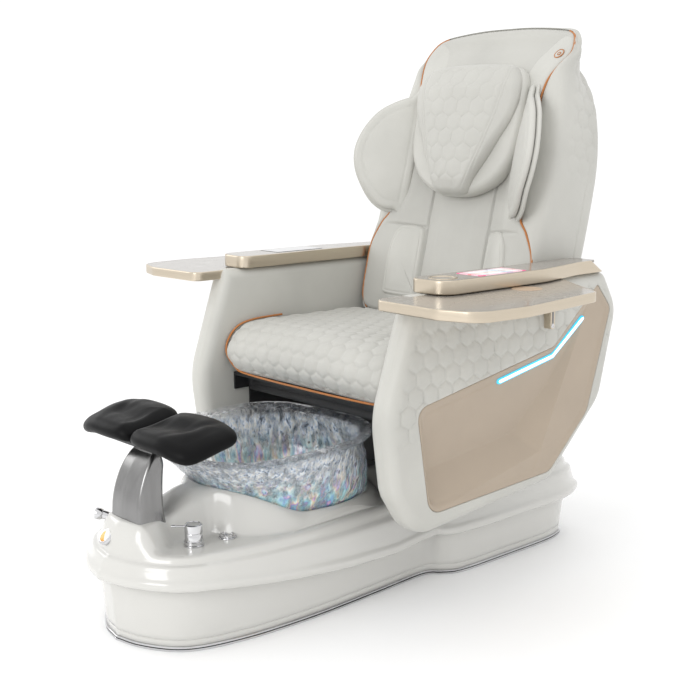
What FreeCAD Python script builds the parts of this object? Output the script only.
import FreeCAD, Part
import math
import os

# Pedicure spa chair: a moulded foot-spa base with a crystal basin, and a massage chair that slides
# on top of it. Millimetres, +Z up, -Y towards the footrest, +X towards the sitter's left hand.
# The origin is on the floor, under the middle of the whole chair.

V = FreeCAD.Vector
X_AXIS = V(1, 0, 0)
Y_AXIS = V(0, 1, 0)
Z_AXIS = V(0, 0, 1)

# ---- driving dimensions: base ----
TRIM_HEIGHT = 12
TUB_WALL = 8
TUB_TOP = 125
TERRACE_TOP = 232
DOME_TOP = 262
STERN_Y = 688
# right half of the floor outline, from the prow crease to the stern corner
FLOOR_OUTLINE = [(0, -712), (72, -695), (147, -650), (185, -588), (208, -478), (216, -361), (216, -234),
                 (206, -52), (197, 112), (224, 158), (244, 190), (252, 254), (252, 402), (250, 564),
                 (236, 640), (205, STERN_Y)]

# ---- driving dimensions: basin ----
BOWL_FOOT_Z = 245
BOWL_FOOT_Y = -195
BOWL_WALL = 10
BOWL_BOTTOM = 12
# rings of the bowl: (height, centre y, half width, half length)
BOWL_RINGS = [(245, -195, 168, 205), (270, -195, 190, 225), (340, -226, 218, 246), (428, -290, 254, 278)]
RIM_RING = (-295, 280, 297)
RIM_Z = 428
RIM_THICK = 16
JET_CENTRE = V(-112, -14, 352)
JET_ANGLE = 122
JET_R = 24

# ---- driving dimensions: footrest ----
PAD_TILT = 14.8
PAD_CENTRE = (-583, 510)
PAD_THICK = 40
PAD_PLATE_THICK = 8
TILT_PIVOT = (-612, 438)
TILT_PIN_R = 5

# ---- driving dimensions: chair ----
ARM_INNER = 335
ARM_OUTER = 410
ARM_TOP = 770
SLAB_BOTTOM = 803
SLAB_TOP = 837
SLAB_INNER = 328
SLAB_OUTER = 448
SLAB_REAR_OUTER = 412
SLAB_REAR = 566
TRAY_BOTTOM = 776
TRAY_TOP = 801
TRAY_PIVOT = (424, 348)
TRAY_PIN_R = 9
PANEL_DEPTH = 46
SEAT_HALF = 326
SEAT_FRONT = -150
SEAT_REAR = 345
SEAT_BOTTOM = 516
SEAT_TOP = 655
PAN_TOP = 514
RUNNING = 0.05

# ---- driving dimensions: back ----
BACK_LEAN = 13.9
BACK_FOOT = V(0, 383, 600)
RECLINE_PIVOT = (470, 560)
RECLINE_R = 10
SHELL_WALL = 24
SHELL_FRONT = -35
SHELL_REAR = 195
CUSHION_REAR = 108


# ---- helpers ----
def place(plane, u, v, w):
    """A point from two coordinates in a plane and one along its normal."""
    if plane == "XY":
        return V(u, v, w)
    if plane == "XZ":
        return V(u, w, v)
    return V(w, u, v)


def rounded_wire(corners, plane, level):
    """A closed wire through corners (u, v, radius), each rounded with a tangent arc."""
    arcs = []
    for index in range(len(corners)):
        u, v, radius = corners[index]
        before = corners[index - 1]
        after = corners[(index + 1) % len(corners)]
        here = V(u, v, 0)
        to_before = V(before[0], before[1], 0).sub(here).normalize()
        to_after = V(after[0], after[1], 0).sub(here).normalize()
        half_angle = to_before.getAngle(to_after) / 2
        reach = radius / math.tan(half_angle)
        bisector = to_before.add(to_after).normalize()
        centre = here.add(bisector * (radius / math.sin(half_angle)))
        middle = centre.sub(bisector * radius)
        arcs.append((here.add(to_before * reach), middle, here.add(to_after * reach)))
    edges = []
    for index in range(len(arcs)):
        start, middle, end = [place(plane, p.x, p.y, level) for p in arcs[index]]
        following = arcs[(index + 1) % len(arcs)][0]
        following = place(plane, following.x, following.y, level)
        edges.append(Part.Arc(start, middle, end).toShape())
        if end.distanceToPoint(following) > 0.01:
            edges.append(Part.LineSegment(end, following).toShape())
    return Part.Wire(edges)


def prism(corners, plane, low, high):
    """A rounded outline in a plane, extruded along the plane's normal from low to high."""
    face = Part.Face(rounded_wire(corners, plane, low))
    return face.extrude(place(plane, 0, 0, high - low))


def box(x0, x1, y0, y1, z0, z1):
    return Part.makeBox(x1 - x0, y1 - y0, z1 - z0, V(x0, y0, z0))


def rod(radius, start, axis, length):
    return Part.makeCylinder(radius, length, start, axis)


def tube(outer, inner, start, axis, length):
    return rod(outer, start, axis, length).cut(rod(inner, start, axis, length))


def mirrored(shape):
    return shape.mirror(V(0, 0, 0), X_AXIS)


def softened(shape, radius):
    """Every edge rounded, or the plain shape where the kernel can't round them all."""
    for size in (radius, radius * 0.5, radius * 0.25):
        try:
            rounded = shape.makeFillet(size, shape.Edges)
            if rounded.isValid() and rounded.Volume > 0:
                return rounded
        except Exception:
            continue
    return shape


def both_sides(shape):
    return Part.makeCompound([shape, mirrored(shape)])


# ---- base ----
def grown_outline(distance):
    """The floor outline moved outwards, point by point along its normal."""
    grown = []
    last = len(FLOOR_OUTLINE) - 1
    for index, (x, y) in enumerate(FLOOR_OUTLINE):
        before = FLOOR_OUTLINE[max(index - 1, 0)]
        after = FLOOR_OUTLINE[min(index + 1, last)]
        along = V(after[0] - before[0], after[1] - before[1], 0).normalize()
        moved = V(x + along.y * distance, y - along.x * distance, 0)
        if index == 0:
            moved = V(0, y - distance * 1.05, 0)
        if index == last:
            moved.y = STERN_Y + distance
        grown.append(moved)
    return grown


def hull_wire(distance, height):
    """The boat-shaped outline at one height: two mirrored curves that meet at the prow crease."""
    right = [V(p.x, p.y, height) for p in grown_outline(distance)]
    left = [V(-p.x, p.y, height) for p in right]
    right_curve = Part.BSplineCurve()
    right_curve.interpolate(right)
    left_curve = Part.BSplineCurve()
    left_curve.interpolate(list(reversed(left)))
    stern = Part.LineSegment(right[-1], left[-1]).toShape()
    return Part.Wire([right_curve.toShape(), stern, left_curve.toShape()])


def hull(levels):
    """A solid lofted through (distance, height) outlines."""
    return Part.makeLoft([hull_wire(distance, height) for distance, height in levels], True, True)


def bowl_solid(grow, low):
    """The bowl's outer form, grown all round, from a lowest height up to above the rim."""
    wires = []
    rings = [(low,) + BOWL_RINGS[0][1:]] + BOWL_RINGS[1:]
    for height, centre, half_width, half_length in rings:
        long_end = V(0, centre + half_length + grow, height)
        side_end = V(half_width + grow, centre, height)
        ellipse = Part.Ellipse(long_end, side_end, V(0, centre, height))
        wires.append(Part.Wire([ellipse.toShape()]))
    return Part.makeLoft(wires, True, True)


def rim_disc(grow, low, high):
    centre, half_width, half_length = RIM_RING
    ellipse = Part.Ellipse(V(0, centre + half_length + grow, low), V(half_width + grow, centre, low),
                           V(0, centre, low))
    return Part.Face(Part.Wire([ellipse.toShape()])).extrude(V(0, 0, high - low))


JET_AXIS = V(math.cos(math.radians(JET_ANGLE)), math.sin(math.radians(JET_ANGLE)), 0)


def along_jet(distance):
    return JET_CENTRE.add(JET_AXIS * distance)


DRAIN_RUN_Z = 92
DRAIN_BEND = 55
DRAIN_PIPE_R = 20
DRAIN_SPIGOT_R = 19
DRAIN_SPIGOT_Y = 700
DRAIN_END_Y = 756
DRAIN_FLANGE_BOTTOM = 190
INLET_X = [-150, -95]
INLET_Z = 70
INLET_R = 10
INLET_END_R = 10.5
INLET_THREAD_Y = 700
INLET_END_Y = 735
POWER_X = 130
POWER_Z = 72


def drain_path():
    """Centre line of the waste pipe: down from the basin, then back to the stern."""
    x, y = 0, BOWL_FOOT_Y
    top = V(x, y, DRAIN_FLANGE_BOTTOM)
    bend_start = V(x, y, DRAIN_RUN_Z + DRAIN_BEND)
    bend_middle = V(x, y + DRAIN_BEND * (1 - math.cos(math.pi / 4)),
                    DRAIN_RUN_Z + DRAIN_BEND * (1 - math.sin(math.pi / 4)))
    bend_end = V(x, y + DRAIN_BEND, DRAIN_RUN_Z)
    edges = [Part.LineSegment(top, bend_start).toShape(),
             Part.Arc(bend_start, bend_middle, bend_end).toShape(),
             Part.LineSegment(bend_end, V(x, DRAIN_SPIGOT_Y, DRAIN_RUN_Z)).toShape()]
    return Part.Wire(edges)


def drain_pipe():
    path = drain_path()
    top = V(0, BOWL_FOOT_Y, DRAIN_FLANGE_BOTTOM)
    outer_ring = Part.Wire([Part.Circle(top, Z_AXIS, DRAIN_PIPE_R).toShape()])
    inner_ring = Part.Wire([Part.Circle(top, Z_AXIS, DRAIN_PIPE_R - 4).toShape()])
    outer = path.makePipeShell([outer_ring], True, False)
    inner = path.makePipeShell([inner_ring], True, False)
    spigot_start = V(0, DRAIN_SPIGOT_Y, DRAIN_RUN_Z)
    spigot = tube(DRAIN_SPIGOT_R, DRAIN_PIPE_R - 4, spigot_start, Y_AXIS, DRAIN_END_Y - DRAIN_SPIGOT_Y)
    return outer.cut(inner).fuse(spigot)


def base_tub():
    outer = hull([(0, TRIM_HEIGHT), (12, TUB_TOP)])
    inner = hull([(-TUB_WALL, TRIM_HEIGHT), (12 - TUB_WALL, TUB_TOP)])
    tub = outer.cut(inner)
    tub = tub.cut(rod(DRAIN_PIPE_R + 0.5, V(0, 600, DRAIN_RUN_Z), Y_AXIS, 200))
    for x in INLET_X:
        tub = tub.cut(rod(INLET_R + 0.5, V(x, 600, INLET_Z), Y_AXIS, 200))
    return tub.cut(box(POWER_X - 24, POWER_X + 24, 600, 800, POWER_Z - 14, POWER_Z + 14))


def kick_trim():
    return hull([(4, 0), (4, TRIM_HEIGHT)]).cut(hull([(-6, 0), (-6, TRIM_HEIGHT)]))


FLOOR_PLATE_Z = 14
FLOOR_PLATE_THICK = 6
FOOT_SPOTS = [(110, -560), (150, -180), (190, 520)]
FOOT_R = 22


def floor_plate():
    inset = -TUB_WALL - 1
    return hull([(inset, FLOOR_PLATE_Z), (inset, FLOOR_PLATE_Z + FLOOR_PLATE_THICK)])


def levelling_feet():
    feet = []
    for x, y in FOOT_SPOTS:
        foot = rod(FOOT_R, V(x, y, 0), Z_AXIS, 6).fuse(rod(7, V(x, y, 6), Z_AXIS, FLOOR_PLATE_Z - 6))
        feet.append(foot)
        feet.append(mirrored(foot))
    return Part.makeCompound(feet)


CAP_TIERS = [(38, TUB_TOP), (42, 148), (40, 166), (26, 172), (24, 200), (10, 208), (0, TERRACE_TOP)]
CAP_WALL = 9
DOME_FRONT = -690
DOME_REAR = 90
PLINTH = [(-738, 196, 4), (-738, 214, 10), (-690, 264, 10), (-684, 290, 8), (-590, 290, 20), (-590, 196, 4)]
PLINTH_HALF = 70
PLINTH_TOP = 290
BUTTON_SPOT = V(-24, -714, 239)
BUTTON_LEAN = 46
BUTTON_BEZEL_R = 22
BUTTON_R = 15
FAUCET_SPOT = V(122, -570, TERRACE_TOP)
FAUCET_R = 19
LEVER_TURN = 48
LEVER_PIN_R = 1.5
KNOB_SPOT = V(128, -478, TERRACE_TOP)
KNOB_R = 17
SHOWER_SPOT = V(-95, -650, TERRACE_TOP)
SHOWER_R = 11


def dome():
    """The raised middle of the deck, round the front of the basin and under the pedestal."""
    low = [(0, -706, 60), (150, -560, 80), (172, -300, 60), (160, DOME_REAR, 50),
           (-160, DOME_REAR, 50), (-172, -300, 60), (-150, -560, 80)]
    high = [(0, -690, 60), (118, -555, 80), (150, -300, 60), (140, DOME_REAR - 20, 50),
            (-140, DOME_REAR - 20, 50), (-150, -300, 60), (-118, -555, 80)]
    lower = rounded_wire(low, "XY", TERRACE_TOP - 1)
    upper = rounded_wire(high, "XY", DOME_TOP)
    return Part.makeLoft([lower, upper], True, True)


def button_axis():
    lean = math.radians(BUTTON_LEAN)
    return V(0, -math.sin(lean), math.cos(lean))


def deck_cap():
    """The deck moulding: stepped skirt, terrace with the controls, and the dome under the basin."""
    outer = hull(CAP_TIERS)
    inner_tiers = [(distance - CAP_WALL, height) for distance, height in CAP_TIERS[:-1]]
    inner_tiers.append((CAP_TIERS[-1][0] - CAP_WALL, TERRACE_TOP - CAP_WALL))
    cap = outer.cut(hull(inner_tiers))
    cap = cap.fuse(dome())
    cap = cap.fuse(prism(PLINTH, "YZ", -PLINTH_HALF, PLINTH_HALF))
    cap = cap.cut(bowl_solid(1.5, BOWL_FOOT_Z - 0.5))
    cap = cap.cut(box(-55, 55, BOWL_FOOT_Y - 55, BOWL_FOOT_Y + 55, 100, BOWL_FOOT_Z + 1))
    cap = cap.cut(rod(BUTTON_R + 3, BUTTON_SPOT.sub(button_axis() * 60), button_axis(), 100))
    cap = cap.cut(rod(BUTTON_BEZEL_R + 4, BUTTON_SPOT, button_axis(), 100))
    cap = cap.cut(rod(12, FAUCET_SPOT.sub(Z_AXIS * 60), Z_AXIS, 100))
    cap = cap.cut(rod(FAUCET_R + 4, FAUCET_SPOT, Z_AXIS, 100))
    cap = cap.cut(rod(KNOB_R - 5, KNOB_SPOT.sub(Z_AXIS * 60), Z_AXIS, 100))
    cap = cap.cut(rod(KNOB_R + 5, KNOB_SPOT, Z_AXIS, 100))
    cap = cap.cut(rod(SHOWER_R + 5, SHOWER_SPOT.sub(Z_AXIS * 60), Z_AXIS, 120))
    cap = cap.cut(rod(SHOWER_R + 9, SHOWER_SPOT, Z_AXIS, 100))
    return cap.removeSplitter()


def basin_bowl():
    outer = bowl_solid(0, BOWL_FOOT_Z)
    inner = bowl_solid(-BOWL_WALL, BOWL_FOOT_Z).cut(box(-400, 400, -800, 200, 0, BOWL_FOOT_Z + BOWL_BOTTOM))
    rim = rim_disc(0, RIM_Z - RIM_THICK, RIM_Z).cut(bowl_solid(-BOWL_WALL, BOWL_FOOT_Z))
    lip = rim_disc(-2, RIM_Z, RIM_Z + 6)
    bead_centre, half_width, half_length = RIM_RING
    hole = Part.Ellipse(V(0, bead_centre + half_length - 26, RIM_Z), V(half_width - 26, bead_centre, RIM_Z),
                        V(0, bead_centre, RIM_Z))
    lip = lip.cut(Part.Face(Part.Wire([hole.toShape()])).extrude(V(0, 0, 10)))
    bowl = outer.cut(inner).fuse(rim).fuse(lip)
    bowl = bowl.cut(rod(24.5, V(0, BOWL_FOOT_Y, 200), Z_AXIS, 100))
    return bowl.cut(rod(JET_R + 0.5, along_jet(-60), JET_AXIS, 130))


FLOOR_OF_BOWL = BOWL_FOOT_Z + BOWL_BOTTOM
STOPPER_STEM_R = 5


def drain_flange():
    """Waste fitting: a flange in the bowl, a tail below it, and a spider that guides the stopper."""
    flange = rod(36, V(0, BOWL_FOOT_Y, FLOOR_OF_BOWL), Z_AXIS, 3)
    tail = rod(24, V(0, BOWL_FOOT_Y, DRAIN_FLANGE_BOTTOM), Z_AXIS, FLOOR_OF_BOWL - DRAIN_FLANGE_BOTTOM)
    fitting = flange.fuse(tail).cut(rod(20, V(0, BOWL_FOOT_Y, DRAIN_FLANGE_BOTTOM - 1), Z_AXIS, 90))
    guide = tube(9, STOPPER_STEM_R + RUNNING, V(0, BOWL_FOOT_Y, 215), Z_AXIS, 12)
    for angle in (0, 120, 240):
        arm = box(8, 21, BOWL_FOOT_Y - 1.5, BOWL_FOOT_Y + 1.5, 215, 227)
        arm.rotate(V(0, BOWL_FOOT_Y, 0), Z_AXIS, angle)
        guide = guide.fuse(arm)
    return fitting.fuse(guide)


def drain_stopper():
    cap = rod(26, V(0, BOWL_FOOT_Y, FLOOR_OF_BOWL + 3.2), Z_AXIS, 4)
    stem = rod(STOPPER_STEM_R, V(0, BOWL_FOOT_Y, 205), Z_AXIS, FLOOR_OF_BOWL + 4 - 205)
    return softened(cap, 1).fuse(stem)


def jet_housing():
    """The jet's pump chamber, open to the bowl, through the bowl's wall."""
    barrel = tube(JET_R, JET_R - 3, along_jet(-3), JET_AXIS, 42)
    back = tube(JET_R, 4 + RUNNING, along_jet(39), JET_AXIS, 5)
    return barrel.fuse(back)


def jet_cover():
    """The face of the jet inside the bowl, with a ring of water slots."""
    face = rod(JET_R + 5, along_jet(-18), JET_AXIS, 5)
    collar = tube(JET_R + 5, JET_R + 1, along_jet(-13), JET_AXIS, 9)
    wall = bowl_solid(0.3, BOWL_FOOT_Z).cut(bowl_solid(-BOWL_WALL - 0.3, BOWL_FOOT_Z))
    cover = face.fuse(collar).cut(wall)
    for index in range(6):
        slot = rod(4, along_jet(-20).add(Z_AXIS * 14), JET_AXIS, 10)
        slot.rotate(JET_CENTRE, JET_AXIS, 60 * index)
        cover = cover.cut(slot)
    return cover


def jet_impeller():
    hub = rod(6, along_jet(2), JET_AXIS, 26)
    shaft = rod(4, along_jet(28), JET_AXIS, 22)
    impeller = hub.fuse(shaft)
    for index in range(6):
        blade = Part.makeBox(2, 13, 20)
        blade.translate(V(-1, 5, 0))
        blade.rotate(V(0, 0, 0), Y_AXIS, 90)
        blade.rotate(V(0, 0, 0), X_AXIS, 60 * index)
        blade.rotate(V(0, 0, 0), Z_AXIS, JET_ANGLE)
        blade.translate(along_jet(5))
        impeller = impeller.fuse(blade)
    return impeller


def jet_pump():
    """The sealed motor behind the jet, with a bore for the impeller's shaft."""
    motor = rod(38, along_jet(44.5), JET_AXIS, 78)
    return softened(motor, 4).cut(rod(4 + RUNNING, along_jet(44), JET_AXIS, 12))


def water_inlets():
    """Hot and cold supply tails through the stern, each with a backing nut inside."""
    tails = []
    for x in INLET_X:
        tail = tube(INLET_R, 7, V(x, 640, INLET_Z), Y_AXIS, INLET_THREAD_Y - 640)
        thread_start = V(x, INLET_THREAD_Y, INLET_Z)
        tail = tail.fuse(tube(INLET_END_R, 7, thread_start, Y_AXIS, INLET_END_Y - INLET_THREAD_Y))
        tails.append(tail.fuse(tube(16, 7, V(x, 640, INLET_Z), Y_AXIS, 12)))
    return Part.makeCompound(tails)


def power_inlet():
    """Flush mains inlet in the stern, with its three contact pins in a recess."""
    body = box(POWER_X - 23.5, POWER_X + 23.5, 655, 700, POWER_Z - 13.5, POWER_Z + 13.5)
    body = body.cut(box(POWER_X - 12, POWER_X + 12, 684, 701, POWER_Z - 8, POWER_Z + 8))
    for x in (-7, 0, 7):
        body = body.fuse(box(POWER_X + x - 1, POWER_X + x + 1, 684, 697, POWER_Z - 2, POWER_Z + 2))
    return body


def control_box():
    """Sealed transformer and control housing on the floor plate."""
    floor = FLOOR_PLATE_Z + FLOOR_PLATE_THICK
    corners = [(-190, 330, 8), (-60, 330, 8), (-60, 520, 8), (-190, 520, 8)]
    outer = prism(corners, "XY", floor + 0.2, floor + 90)
    return outer.cut(box(-186, -64, 334, 516, floor + 4, floor + 86))


# ---- footrest ----
def pedestal():
    """The curved chrome column of the footrest, with two ears for the tilt pin."""
    sections = [(PLINTH_TOP, -677, -609, 63), (340, -674, -614, 62), (380, -668, -618, 60),
                (412, -654, -618, 56), (424, -646, -604, 52)]
    wires = []
    for height, front, rear, half in sections:
        corners = [(-half, front, 10), (half, front, 10), (half, rear, 10), (-half, rear, 10)]
        wires.append(rounded_wire(corners, "XY", height))
    column = Part.makeLoft(wires, True, True)
    y, z = TILT_PIVOT
    ear = rod(12, V(30, y, z), X_AXIS, 12).fuse(box(30, 42, y - 12, y + 8, z - 18, z))
    column = column.fuse(ear).fuse(mirrored(ear))
    return column.cut(rod(TILT_PIN_R, V(-60, y, z), X_AXIS, 120))


def footrest_pin():
    y, z = TILT_PIVOT
    pin = rod(TILT_PIN_R, V(-42, y, z), X_AXIS, 84)
    return pin.fuse(rod(8, V(42, y, z), X_AXIS, 3)).fuse(rod(8, V(-45, y, z), X_AXIS, 3))


def tilted(shape):
    """A footrest part drawn level, with its top at the origin, moved to the tilted pad plane."""
    shape.rotate(V(0, 0, 0), X_AXIS, PAD_TILT)
    shape.translate(V(0, PAD_CENTRE[0], PAD_CENTRE[1]))
    return shape


def footrest_head():
    """Cast head under both pads: a plate with a lug that turns on the pin."""
    y, z = TILT_PIVOT
    low = -PAD_THICK - 0.5 - PAD_PLATE_THICK
    corners = [(-170, -55, 18), (170, -55, 18), (170, 55, 18), (-170, 55, 18)]
    plate = tilted(prism(corners, "XY", low, low + PAD_PLATE_THICK))
    lug = rod(12, V(-29.5, y, z), X_AXIS, 59).fuse(box(-29.5, 29.5, y - 9, y + 11, z, z + 19))
    head = plate.fuse(lug)
    return head.cut(rod(TILT_PIN_R + RUNNING, V(-60, y, z), X_AXIS, 120))


def footrest_pad(side):
    corners = [(5, -80, 30), (222, -72, 38), (222, 74, 38), (5, 76, 30)]
    pad = prism(corners, "XY", -PAD_THICK, 0)
    pad = softened(pad, 12)
    pad = tilted(pad)
    return pad if side > 0 else mirrored(pad)


# ---- controls ----
def button_bezel():
    axis = button_axis()
    ring = tube(BUTTON_BEZEL_R, BUTTON_R + 0.3, BUTTON_SPOT.add(axis * 0.2), axis, 7)
    return ring.fuse(tube(BUTTON_R + 2.8, BUTTON_R + 0.3, BUTTON_SPOT.sub(axis * 14), axis, 15))


def jet_button():
    axis = button_axis()
    return softened(rod(BUTTON_R, BUTTON_SPOT.sub(axis * 4), axis, 13), 1.5)


def faucet_body():
    top = FAUCET_SPOT.add(Z_AXIS * 0.2)
    body = rod(FAUCET_R, top, Z_AXIS, 12).fuse(rod(FAUCET_R - 2.5, top.add(Z_AXIS * 12), Z_AXIS, 20))
    stem = rod(11.5, top.sub(Z_AXIS * 50), Z_AXIS, 50)
    spigot = rod(8, top.add(Z_AXIS * 32), Z_AXIS, 8)
    return body.fuse(stem).fuse(spigot)


def faucet_turret():
    """Turning cap of the mixer, with a slot for the lever's root."""
    low = FAUCET_SPOT.z + 32.4
    turret = rod(FAUCET_R - 1, V(FAUCET_SPOT.x, FAUCET_SPOT.y, low), Z_AXIS, 18)
    turret = turret.cut(rod(8 + RUNNING, V(FAUCET_SPOT.x, FAUCET_SPOT.y, low - 1), Z_AXIS, 9))
    x, y = FAUCET_SPOT.x, FAUCET_SPOT.y
    slot = box(x - 30, x - 4, y - 4, y + 4, low + 10, low + 20)
    cross_pin = rod(LEVER_PIN_R, V(x - 9, y - 8, low + 14), Y_AXIS, 16)
    turret = turret.cut(slot).fuse(cross_pin)
    turret.rotate(FAUCET_SPOT, Z_AXIS, LEVER_TURN)
    return turret


def faucet_lever():
    """Thin lever that points to the side and lifts on a small cross pin."""
    low = FAUCET_SPOT.z + 32.4
    x, y = FAUCET_SPOT.x, FAUCET_SPOT.y
    root = rod(3.6, V(x - 9, y - 3.6, low + 14), Y_AXIS, 7.2)
    stick = rod(2.4, V(x - 10, y, low + 14), V(-1, 0, 0), 34)
    tip = softened(rod(3.4, V(x - 41, y, low + 14), V(-1, 0, 0), 11), 1)
    lever = root.fuse(stick).fuse(tip)
    lever = lever.cut(rod(LEVER_PIN_R + RUNNING, V(x - 9, y - 30, low + 14), Y_AXIS, 60))
    lever.rotate(FAUCET_SPOT, Z_AXIS, LEVER_TURN)
    return lever


def drain_knob():
    """Flush ribbed knob in the deck that works the basin's stopper."""
    knob = rod(KNOB_R, KNOB_SPOT.add(Z_AXIS * 0.4), Z_AXIS, 6)
    knob = knob.cut(rod(KNOB_R - 5, KNOB_SPOT.add(Z_AXIS * 3.4), Z_AXIS, 6))
    grip = box(-10, 10, -2, 2, 0, 3)
    grip.translate(KNOB_SPOT.add(Z_AXIS * 3))
    stem = rod(KNOB_R - 6, KNOB_SPOT.sub(Z_AXIS * 24), Z_AXIS, 25)
    return knob.fuse(grip).fuse(stem)


def shower_socket():
    """Tapered holder in the deck that the hand shower stands in."""
    collar = tube(SHOWER_R + 7, SHOWER_R + 1, SHOWER_SPOT.add(Z_AXIS * 0.2), Z_AXIS, 6)
    sleeve = tube(SHOWER_R + 4.5, SHOWER_R + 1, SHOWER_SPOT.sub(Z_AXIS * 40), Z_AXIS, 41)
    return collar.fuse(sleeve)


def hand_shower():
    """Hand shower, parked upright: a handle in the socket and a head that leans outwards."""
    low = SHOWER_SPOT.sub(Z_AXIS * 36)
    elbow = SHOWER_SPOT.add(Z_AXIS * 24)
    lean = V(-0.6, -0.62, 0.5)
    handle = rod(SHOWER_R, low, Z_AXIS, 66)
    neck = rod(SHOWER_R - 2, elbow, lean, 22)
    head = rod(SHOWER_R + 3, elbow.add(lean * 16), lean, 14)
    return handle.fuse(neck).fuse(head)


# ---- chassis and slide ----
TOWER_TOP = 440
RAIL_X = 215


def chassis_tower():
    """Closed sheet-metal tower that carries the chair's slide rails."""
    outer = box(-236, 236, 132, 560, TERRACE_TOP + 0.2, TOWER_TOP)
    return outer.cut(box(-232, 232, 136, 556, TERRACE_TOP + 4, TOWER_TOP - 4))


def slide_rails():
    rail = box(RAIL_X - 10, RAIL_X + 10, 120, 600, TOWER_TOP, TOWER_TOP + 30)
    return both_sides(rail)


BOLT_Z = 490
BOLT_Y = [-40, 150, 330]


def seat_frame():
    """Seat pan with two slide channels, side flanges for the arms, and the recline brackets."""
    y, z = RECLINE_PIVOT
    frame = box(-334, 334, -110, 430, PAN_TOP - 8, PAN_TOP)
    for side in (-1, 1):
        channel = box(RAIL_X - 20, RAIL_X + 20, 60, 430, TOWER_TOP + 22, PAN_TOP - 8)
        channel = channel.cut(box(RAIL_X - 11.5, RAIL_X + 11.5, 50, 440, TOWER_TOP + 20, TOWER_TOP + 32))
        flange = box(328, 334, -110, 430, 465, PAN_TOP - 8)
        bracket = box(262, 272, 400, y + 20, PAN_TOP - 8, z).fuse(rod(20, V(262, y, z), X_AXIS, 10))
        half = channel.fuse(flange).fuse(bracket)
        frame = frame.fuse(half if side > 0 else mirrored(half))
    frame = frame.cut(rod(RECLINE_R + RUNNING, V(-300, y, z), X_AXIS, 600))
    for bolt_y in BOLT_Y:
        frame = frame.cut(rod(5.2, V(-360, bolt_y, BOLT_Z), X_AXIS, 720))
    return frame


def arm_bolts():
    bolts = []
    for bolt_y in BOLT_Y:
        bolt = rod(5, V(320, bolt_y, BOLT_Z), X_AXIS, 43).fuse(rod(9, V(320, bolt_y, BOLT_Z), X_AXIS, 8))
        bolts.append(bolt)
        bolts.append(mirrored(bolt))
    return Part.makeCompound(bolts)


def seat_cushion():
    corners = [(SEAT_FRONT, SEAT_BOTTOM, 40), (SEAT_REAR, SEAT_BOTTOM, 10), (SEAT_REAR, SEAT_TOP, 20),
               (SEAT_FRONT, SEAT_TOP, 62)]
    return softened(prism(corners, "YZ", -SEAT_HALF, SEAT_HALF), 16)


def recline_motor():
    """Linear drive of the backrest, slung under the seat pan."""
    motor = rod(24, V(-120, 380, 478), X_AXIS, 110)
    mount = box(-90, -60, 365, 395, 478, PAN_TOP - 8.2)
    return motor.fuse(mount)


# ---- arms ----
ARM_OUTLINE = [(-130, ARM_TOP, 18), (-222, 520, 230), (-196, 330, 90), (-120, 207, 105), (392, 254, 70),
               (604, 448, 110), (672, 700, 95), (600, ARM_TOP, 20)]
PANEL_OUTLINE = [(567, 772, 10), (628, 702, 24), (536, 423, 70), (380, 283, 50), (-78, 262, 45),
                 (-122, 533, 34), (384, 621, 25)]
PANEL_CENTRE = (280, 500)
PANEL_FIT = 0.997
POCKET_OUTLINE = [(-80, 478, 12), (300, 548, 40), (372, 455, 30), (305, 392, 12), (-62, 352, 12)]


def arm(side):
    """Upholstered arm: a moulded body, an inner rib under the slab, and a recess for the side panel."""
    body = softened(prism(ARM_OUTLINE, "YZ", ARM_INNER, ARM_OUTER), 14)
    rib = box(ARM_INNER + 1, 354, -70, 420, ARM_TOP - 20, SLAB_BOTTOM - 0.3)
    block = prism([(406, ARM_TOP - 30, 4), (640, ARM_TOP - 30, 4), (606, SLAB_BOTTOM - 0.3, 10),
                   (406, SLAB_BOTTOM - 0.3, 4)], "YZ", ARM_INNER + 1, ARM_OUTER - 1)
    shape = body.fuse(rib).fuse(block)
    shape = shape.cut(prism(PANEL_OUTLINE, "YZ", ARM_OUTER - PANEL_DEPTH, ARM_OUTER + 10))
    for bolt_y in BOLT_Y:
        shape = shape.cut(rod(5.2, V(300, bolt_y, BOLT_Z), X_AXIS, 70))
    y = TRAY_PIVOT[1]
    shape = shape.cut(box(395, 440, y - 9.5, y + 9.5, 664, 820))
    shape = shape.removeSplitter()
    return shape if side > 0 else mirrored(shape)


LIGHT_PATH = [(173, 559), (381, 597), (505, 684)]
LIGHT_WIDTH = 9


def light_outline(grow):
    """A bent strip of even width round the light's centre line."""
    half = LIGHT_WIDTH / 2 + grow
    upper = []
    lower = []
    for index, (y, z) in enumerate(LIGHT_PATH):
        before = LIGHT_PATH[max(index - 1, 0)]
        after = LIGHT_PATH[min(index + 1, 2)]
        along = V(after[0] - before[0], after[1] - before[1], 0).normalize()
        end = half if index == 2 else -half if index == 0 else 0
        radius = 12 if index == 1 else half * 0.9
        upper.append((y + along.x * end - along.y * half, z + along.y * end + along.x * half, radius))
        lower.append((y + along.x * end + along.y * half, z + along.y * end - along.x * half, radius))
    return upper + list(reversed(lower))


def arm_panel(side):
    """Side panel: a dish that fills the arm's recess, with a storage pocket and a light channel."""
    centre_y, centre_z = PANEL_CENTRE
    fitted = [(centre_y + (y - centre_y) * PANEL_FIT, centre_z + (z - centre_z) * PANEL_FIT, radius)
              for y, z, radius in PANEL_OUTLINE]
    panel = prism(fitted, "YZ", ARM_OUTER - PANEL_DEPTH + 0.5, ARM_OUTER - 1)
    panel = panel.cut(prism(POCKET_OUTLINE, "YZ", ARM_OUTER - PANEL_DEPTH + 6, ARM_OUTER + 5))
    panel = panel.cut(prism(light_outline(0.3), "YZ", ARM_OUTER - 8, ARM_OUTER + 5))
    return panel if side > 0 else mirrored(panel)


def arm_lights():
    return both_sides(prism(light_outline(0), "YZ", ARM_OUTER - 7.5, ARM_OUTER))


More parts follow.
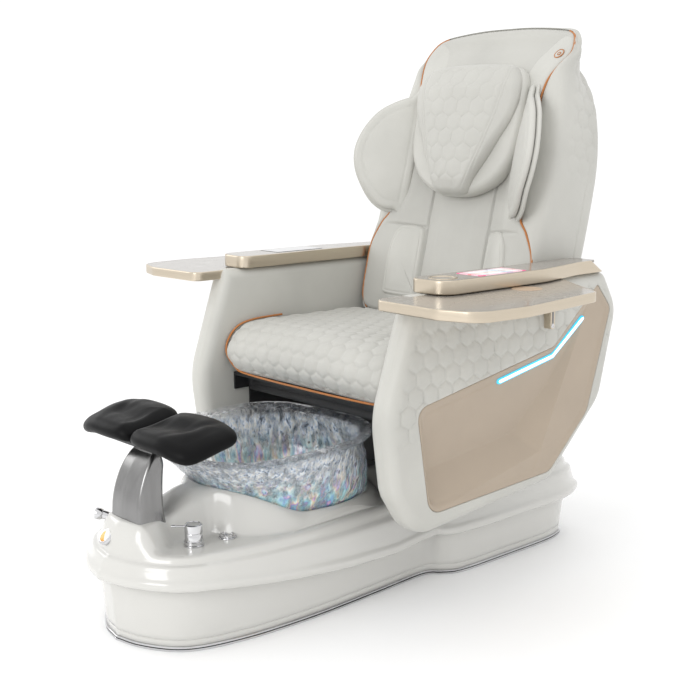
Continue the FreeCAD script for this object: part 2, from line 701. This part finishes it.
INLAY_INSET = 5
CUP_SPOT = (390, -18)
CUP_R = 34
SCREEN = (352, 432, 70, 238)


def slab_outline(inset):
    return [(SLAB_INNER + inset, -75 + inset, 30 - inset), (SLAB_OUTER - inset, -68 + inset, 46 - inset),
            (SLAB_OUTER - inset, 300, 300), (SLAB_REAR_OUTER - inset, 480, 200),
            (SLAB_REAR_OUTER - inset, SLAB_REAR - inset, 14), (SLAB_INNER + inset, SLAB_REAR - inset, 12 - inset)]


def armrest(side):
    """Champagne metal armrest frame, dished to hold the top board and its fittings."""
    slab = prism(slab_outline(0), "XY", SLAB_BOTTOM, SLAB_TOP)
    slab = slab.cut(prism(slab_outline(INLAY_INSET), "XY", SLAB_TOP - 6, SLAB_TOP + 5))
    if side > 0:
        slab = slab.cut(rod(CUP_R + 0.5, V(CUP_SPOT[0], CUP_SPOT[1], SLAB_BOTTOM + 4), Z_AXIS, 60))
    inner, outer, front, rear = SCREEN
    slab = slab.cut(box(inner - 0.5, outer + 0.5, front - 0.5, rear + 0.5, SLAB_BOTTOM + 12, 900))
    return slab if side > 0 else mirrored(slab)


def armrest_tops():
    """Glossy top boards set into both armrest frames."""
    tops = []
    for side in (1, -1):
        board = prism(slab_outline(INLAY_INSET + 0.5), "XY", SLAB_TOP - 5.8, SLAB_TOP)
        if side > 0:
            board = board.cut(rod(CUP_R + 0.5, V(CUP_SPOT[0], CUP_SPOT[1], SLAB_BOTTOM), Z_AXIS, 60))
        board = board.cut(box(SCREEN[0] - 0.5, SCREEN[1] + 0.5, SCREEN[2] - 0.5, SCREEN[3] + 0.5, 700, 900))
        tops.append(board if side > 0 else mirrored(board))
    return Part.makeCompound(tops)


def cup_holder():
    x, y = CUP_SPOT
    cup = rod(CUP_R, V(x, y, SLAB_BOTTOM + 4.3), Z_AXIS, SLAB_TOP - SLAB_BOTTOM - 2)
    return cup.cut(Part.makeCone(CUP_R - 9, CUP_R - 4, 40, V(x, y, SLAB_BOTTOM + 7.5), Z_AXIS))


def touch_screen():
    """Flush glass control screen of the massage program, in the left armrest."""
    return softened(box(SCREEN[0], SCREEN[1], SCREEN[2], SCREEN[3], SLAB_BOTTOM + 12.3, SLAB_TOP + 1), 0.4)


def charging_pad():
    return mirrored(touch_screen())


# ---- trays ----
TRAY_OUTLINE = [(358, -214, 26), (560, -222, 70), (662, -188, 62), (676, -40, 120), (634, 262, 34),
                (462, 372, 40), (424, 398, 34), (372, 398, 40), (360, 200, 300)]


def tray(side):
    """Manicure tray with a bore that turns on the post beside the arm."""
    x, y = TRAY_PIVOT
    board = prism(TRAY_OUTLINE, "XY", TRAY_BOTTOM, TRAY_TOP)
    board = board.cut(rod(TRAY_PIN_R + RUNNING, V(x, y, 700), Z_AXIS, TRAY_TOP - 3 - 700))
    return board if side > 0 else mirrored(board)


def tray_posts():
    """Posts bolted in a notch of each arm: a bar with a rounded foot, and the tray's pin on top."""
    x, y = TRAY_PIVOT
    bar = box(396, x + 9, y - 9, y + 9, 684, TRAY_BOTTOM - 0.5)
    foot = rod(9, V(396, y, 684), X_AXIS, x + 9 - 396)
    pin = rod(TRAY_PIN_R, V(x, y, TRAY_BOTTOM - 0.6), Z_AXIS, TRAY_TOP - 4 - TRAY_BOTTOM)
    return both_sides(bar.fuse(foot).fuse(pin))


# ---- back ----
def leaned(shape):
    """A back part drawn upright (x, thickness to the rear, height), moved to the leaning back."""
    shape.rotate(V(0, 0, 0), X_AXIS, -BACK_LEAN)
    shape.translate(BACK_FOOT)
    return shape


def back_point(thickness, height):
    lean = math.radians(BACK_LEAN)
    return V(0, BACK_FOOT.y + thickness * math.cos(lean) + height * math.sin(lean),
             BACK_FOOT.z - thickness * math.sin(lean) + height * math.cos(lean))


SHELL_PROFILE = [(SHELL_FRONT, 15, 12), (SHELL_FRONT, 700, 200), (-10, 880, 20), (96, 880, 60),
                 (172, 740, 160), (SHELL_REAR, 480, 300), (188, 15, 40)]
CAVITY_PROFILE = [(-60, 38, 4), (-60, 880, 4), (70, 860, 60), (150, 735, 160), (171, 480, 300), (164, 38, 20)]

CUSHION_PROFILE = [(0, 44, 4), (0, 850, 50), (62, 850, 50), (CUSHION_REAR, 770, 80), (CUSHION_REAR, 44, 4)]


def shell_outline(inset, low):
    right = [(300, low, 30), (317, 250, 300), (318, 590, 260), (262, 790, 120), (150, 868, 90)]
    outline = []
    for x, s, radius in right:
        drop = inset if s > 700 else 0
        outline.append((x - inset, s - drop, max(radius - inset, 4)))
    return outline + [(-x, s, radius) for x, s, radius in reversed(outline)]


def back_shell():
    """Upholstered rear shell: a dish open to the front that holds the works and the cushion."""
    outer = prism(shell_outline(0, 15), "XZ", SHELL_FRONT, SHELL_REAR)
    outer = outer.common(prism(SHELL_PROFILE, "YZ", -400, 400))
    inner = prism(shell_outline(SHELL_WALL, 40), "XZ", SHELL_FRONT - 5, SHELL_REAR - SHELL_WALL)
    inner = inner.common(prism(CAVITY_PROFILE, "YZ", -400, 400))
    shell = outer.cut(inner)
    slot = box(244, 262, 112, 144, 10, 60)
    return leaned(shell.cut(slot).cut(mirrored(slot)))


def back_cushion():
    """Back cushion with side bolsters, in front of the massage works."""
    middle = prism(shell_outline(SHELL_WALL + 2, 44), "XZ", 0, CUSHION_REAR)
    middle = middle.common(prism(CUSHION_PROFILE, "YZ", -400, 400))
    bolster = prism([(234, 60, 20), (290, 60, 20), (290, 560, 20), (234, 560, 20)], "XZ", -30, 1)
    bolster = bolster.common(prism(shell_outline(SHELL_WALL + 2, 44), "XZ", -31, 2))
    return leaned(middle.fuse(bolster).fuse(mirrored(bolster)))


RAIL_HALF = 78
FRAME_FRONT = 128
FRAME_REAR = 146
FRAME_HIGH = 700
CARRIAGE_LOW = 180
CARRIAGE_HIGH = 300


def back_frame():
    """Welded ladder inside the back, with the two lugs that hold the recline shaft."""
    frame = box(-250, 250, FRAME_FRONT, FRAME_REAR, 62, 86)
    frame = frame.fuse(box(-200, 200, FRAME_FRONT, FRAME_REAR, 676, FRAME_HIGH))
    pivot_t = (RECLINE_PIVOT[0] - BACK_FOOT.y) * math.cos(math.radians(BACK_LEAN)) \
        - (RECLINE_PIVOT[1] - BACK_FOOT.z) * math.sin(math.radians(BACK_LEAN))
    pivot_s = (RECLINE_PIVOT[0] - BACK_FOOT.y) * math.sin(math.radians(BACK_LEAN)) \
        + (RECLINE_PIVOT[1] - BACK_FOOT.z) * math.cos(math.radians(BACK_LEAN))
    for side in (-1, 1):
        rail = box(RAIL_HALF - 8, RAIL_HALF + 8, FRAME_FRONT, FRAME_REAR, 60, FRAME_HIGH)
        lug = box(247, 259, 117, 140, pivot_s, 84).fuse(box(247, 259, pivot_t, 140, pivot_s - 16, 8))
        lug = lug.fuse(rod(16, V(247, pivot_t, pivot_s), X_AXIS, 12))
        half = rail.fuse(lug)
        frame = frame.fuse(half if side > 0 else mirrored(half))
    frame = frame.cut(rod(RECLINE_R, V(-300, pivot_t, pivot_s), X_AXIS, 600))
    return leaned(frame)


def recline_shaft():
    y, z = RECLINE_PIVOT
    return rod(RECLINE_R, V(-276, y, z), X_AXIS, 552)


def massage_carriage():
    """Carriage that climbs the back's two rails and carries the kneading rollers."""
    plate = box(-94, 94, FRAME_REAR + 1, FRAME_REAR + 9, CARRIAGE_LOW, CARRIAGE_HIGH)
    for side in (-1, 1):
        jaw = box(RAIL_HALF + 9.5, RAIL_HALF + 16, FRAME_FRONT, FRAME_REAR + 1, CARRIAGE_LOW, CARRIAGE_HIGH)
        ear = box(50, 56, 116, FRAME_REAR + 1, 222, 258)
        half = jaw.fuse(ear)
        plate = plate.fuse(half if side > 0 else mirrored(half))
    plate = plate.cut(rod(4 + RUNNING, V(-70, 129, 240), X_AXIS, 140))
    return leaned(plate)


def massage_rollers():
    """Kneading rollers on their own axle between the carriage's ears."""
    axle = rod(4, V(-62, 129, 240), X_AXIS, 124)
    for x in (-46, 30):
        axle = axle.fuse(softened(rod(15, V(x, 129, 240), X_AXIS, 16), 4))
    return leaned(axle)


EAR_SPLAY = 48
EAR_THICK = 24
EAR_ROOT = (238, -56)
EAR_OUTLINE = [(0, 352, 20), (62, 352, 70), (150, 470, 120), (146, 600, 90), (96, 668, 70), (0, 676, 12)]


def shoulder_wing(side):
    """Padded wing with the shoulder airbags, which stands out forward and to the side."""
    wing = softened(prism(EAR_OUTLINE, "XZ", -EAR_THICK / 2, EAR_THICK / 2), 7)
    wing.rotate(V(0, 0, 0), Z_AXIS, -(90 - EAR_SPLAY))
    wing.translate(V(EAR_ROOT[0], EAR_ROOT[1], 0))
    wing = leaned(wing)
    return wing if side > 0 else mirrored(wing)


PILLOW_FRONT = -90
PILLOW_REAR = -4
PILLOW_OUTLINE = [(66, 405, 40), (150, 446, 60), (194, 530, 120), (198, 660, 120), (184, 738, 60),
                  (118, 787, 40)]


def head_pillow():
    outline = PILLOW_OUTLINE + [(-x, s, radius) for x, s, radius in reversed(PILLOW_OUTLINE)]
    return leaned(softened(prism(outline, "XZ", PILLOW_FRONT, PILLOW_REAR), 20))


def lumbar_pads():
    corners = [(124, 92, 14), (220, 92, 14), (214, 312, 26), (124, 308, 14)]
    return leaned(both_sides(softened(prism(corners, "XZ", -26, -2), 6)))


# ---- write every node ----
NODES = {
    "base_tub": base_tub,
    "kick_trim": kick_trim,
    "floor_plate": floor_plate,
    "levelling_feet": levelling_feet,
    "deck_cap": deck_cap,
    "basin_bowl": basin_bowl,
    "drain_flange": drain_flange,
    "drain_stopper": drain_stopper,
    "drain_pipe": drain_pipe,
    "drain_knob": drain_knob,
    "jet_housing": jet_housing,
    "jet_cover": jet_cover,
    "jet_impeller": jet_impeller,
    "jet_pump": jet_pump,
    "water_inlets": water_inlets,
    "power_inlet": power_inlet,
    "control_box": control_box,
    "pedestal": pedestal,
    "footrest_pin": footrest_pin,
    "footrest_head": footrest_head,
    "footrest_pad_left": lambda: footrest_pad(1),
    "footrest_pad_right": lambda: footrest_pad(-1),
    "button_bezel": button_bezel,
    "jet_button": jet_button,
    "faucet_body": faucet_body,
    "faucet_turret": faucet_turret,
    "faucet_lever": faucet_lever,
    "shower_socket": shower_socket,
    "hand_shower": hand_shower,
    "chassis_tower": chassis_tower,
    "slide_rails": slide_rails,
    "seat_frame": seat_frame,
    "arm_bolts": arm_bolts,
    "seat_cushion": seat_cushion,
    "recline_motor": recline_motor,
    "arm_left": lambda: arm(1),
    "arm_right": lambda: arm(-1),
    "arm_panel_left": lambda: arm_panel(1),
    "arm_panel_right": lambda: arm_panel(-1),
    "arm_lights": arm_lights,
    "armrest_left": lambda: armrest(1),
    "armrest_right": lambda: armrest(-1),
    "armrest_tops": armrest_tops,
    "cup_holder": cup_holder,
    "touch_screen": touch_screen,
    "charging_pad": charging_pad,
    "tray_posts": tray_posts,
    "tray_left": lambda: tray(1),
    "tray_right": lambda: tray(-1),
    "back_shell": back_shell,
    "back_cushion": back_cushion,
    "back_frame": back_frame,
    "recline_shaft": recline_shaft,
    "massage_carriage": massage_carriage,
    "massage_rollers": massage_rollers,
    "shoulder_wing_left": lambda: shoulder_wing(1),
    "shoulder_wing_right": lambda: shoulder_wing(-1),
    "head_pillow": head_pillow,
    "lumbar_pads": lumbar_pads,
}

os.makedirs("parts", exist_ok=True)
for name, make in NODES.items():
    shape = make()
    bad = [solid for solid in shape.Solids if not solid.isValid()]
    if bad or not shape.Solids:
        print(name, "has", len(shape.Solids), "solids and", len(bad), "invalid")
    shape.exportStep("parts/" + name + ".step")
